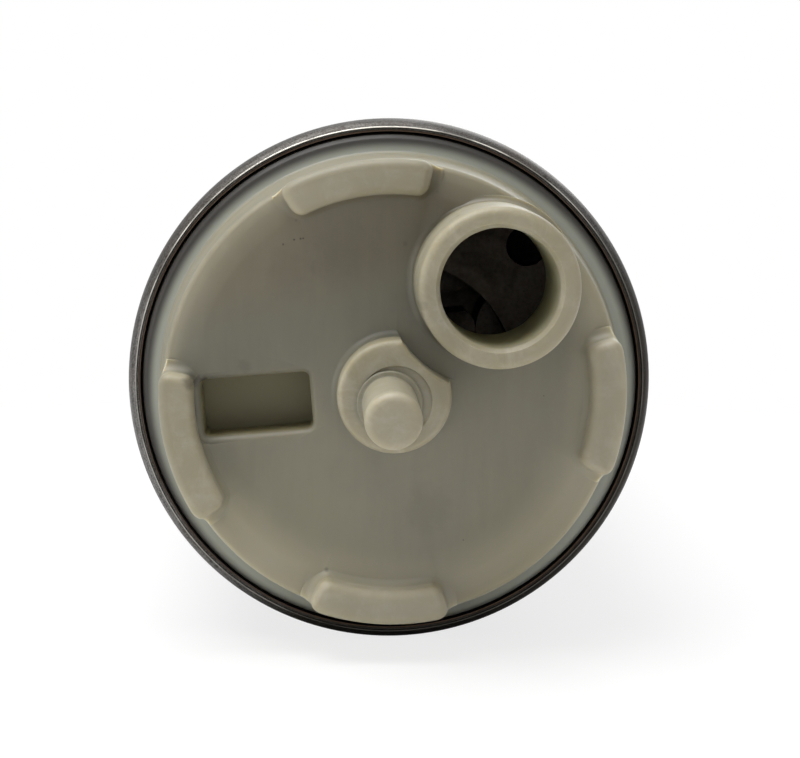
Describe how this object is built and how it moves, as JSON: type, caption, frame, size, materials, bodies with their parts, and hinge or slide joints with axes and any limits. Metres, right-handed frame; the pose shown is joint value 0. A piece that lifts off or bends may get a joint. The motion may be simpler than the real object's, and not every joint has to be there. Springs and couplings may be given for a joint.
{
  "type": "electric fuel pump",
  "caption": "Cylindrical in-tank fuel pump: steel shell, castellated plastic inlet cap with an offset spigot and a strainer peg, rotor pump, motor and a barbed outlet.",
  "frame": {"origin": "on the pump's axis, at the middle of the steel shell", "axes": "+Y along the axis from the inlet to the outlet, +Z towards the side on which the inlet spigot stands, +X to the right as seen from the inlet end"},
  "size_m": [0.0381, 0.119, 0.038],
  "materials": {
    "shell_steel": "brushed zinc-plated steel tube, faintly scratched",
    "cap_plastic": "moulded beige-grey acetal, satin",
    "sintered_steel": "sintered and ground steel",
    "ground_steel": "ground steel",
    "bronze": "sintered bronze",
    "copper": "enamelled copper wire",
    "lamination_steel": "stacked sheet steel",
    "carbon": "pressed carbon",
    "ferrite": "sintered ferrite",
    "holder_plastic": "black glass-filled plastic",
    "brass_strip": "stamped brass",
    "spring_steel": "spring steel",
    "seal_rubber": "black rubber"
  },
  "bodies": {
    "pump_body": {"shell": "shell_steel", "inlet_cap": "cap_plastic", "outlet_cap": "cap_plastic", "inlet_port_plate": "sintered_steel", "cam_ring": "sintered_steel", "outlet_port_plate": "sintered_steel", "pump_screws": "ground_steel", "inlet_bush": "bronze", "middle_bush": "bronze", "outlet_bush": "bronze", "thrust_washer_inlet": "bronze", "thrust_washer_outlet": "bronze", "flux_ring": "shell_steel", "magnet_upper": "ferrite", "magnet_lower": "ferrite", "magnet_clips": "spring_steel", "brush_holder": "holder_plastic", "terminal_left": "brass_strip", "terminal_right": "brass_strip", "brush_spring_left": "spring_steel", "brush_spring_right": "spring_steel", "outlet_seal": "seal_rubber", "check_seat": "brass_strip", "check_guide": "holder_plastic", "check_spring": "spring_steel", "relief_spring": "spring_steel", "relief_plug": "brass_strip"},
    "armature": {"armature_shaft": "ground_steel", "armature_core": "lamination_steel", "armature_windings": "copper", "commutator": "carbon", "drive_coupling": "holder_plastic", "inner_rotor": "sintered_steel"},
    "outer_rotor_body": {"outer_rotor": "sintered_steel"},
    "brush_left_body": {"brush_left": "carbon", "brush_lead_left": "copper"},
    "brush_right_body": {"brush_right": "carbon", "brush_lead_right": "copper"},
    "check_valve_body": {"check_poppet": "holder_plastic"},
    "relief_valve_body": {"relief_ball": "ground_steel"}
  },
  "joints": [
    {"name": "rotor_spin", "type": "hinge", "parent": "pump_body", "child": "armature", "pos_m": [0, 0, 0], "axis": [0, 1, 0], "continuous": true},
    {"name": "outer_rotor_spin", "type": "hinge", "parent": "pump_body", "child": "outer_rotor_body", "pos_m": [0.00097, -0.025, -0.00052], "axis": [0, 1, 0], "continuous": true},
    {"name": "brush_left_slide", "type": "slide", "parent": "pump_body", "child": "brush_left_body", "axis": [0, 1, 0], "range_m": [0, 0.002], "stiffness_N_per_m": 300, "springref_m": -0.004, "deforming": ["brush_spring_left"]},
    {"name": "brush_right_slide", "type": "slide", "parent": "pump_body", "child": "brush_right_body", "axis": [0, 1, 0], "range_m": [0, 0.002], "stiffness_N_per_m": 300, "springref_m": -0.004, "deforming": ["brush_spring_right"]},
    {"name": "check_valve_lift", "type": "slide", "parent": "pump_body", "child": "check_valve_body", "axis": [0, 1, 0], "range_m": [0, 0.0018], "stiffness_N_per_m": 100, "springref_m": -0.003, "deforming": ["check_spring"]},
    {"name": "relief_valve_lift", "type": "slide", "parent": "pump_body", "child": "relief_valve_body", "axis": [0, 1, 0], "range_m": [0, 0.001], "stiffness_N_per_m": 1200, "springref_m": -0.0026, "deforming": ["relief_spring"]}
  ],
  "couplings": [
    {"joint": "outer_rotor_spin", "follows": "rotor_spin", "ratio": 0.85714}
  ]
}
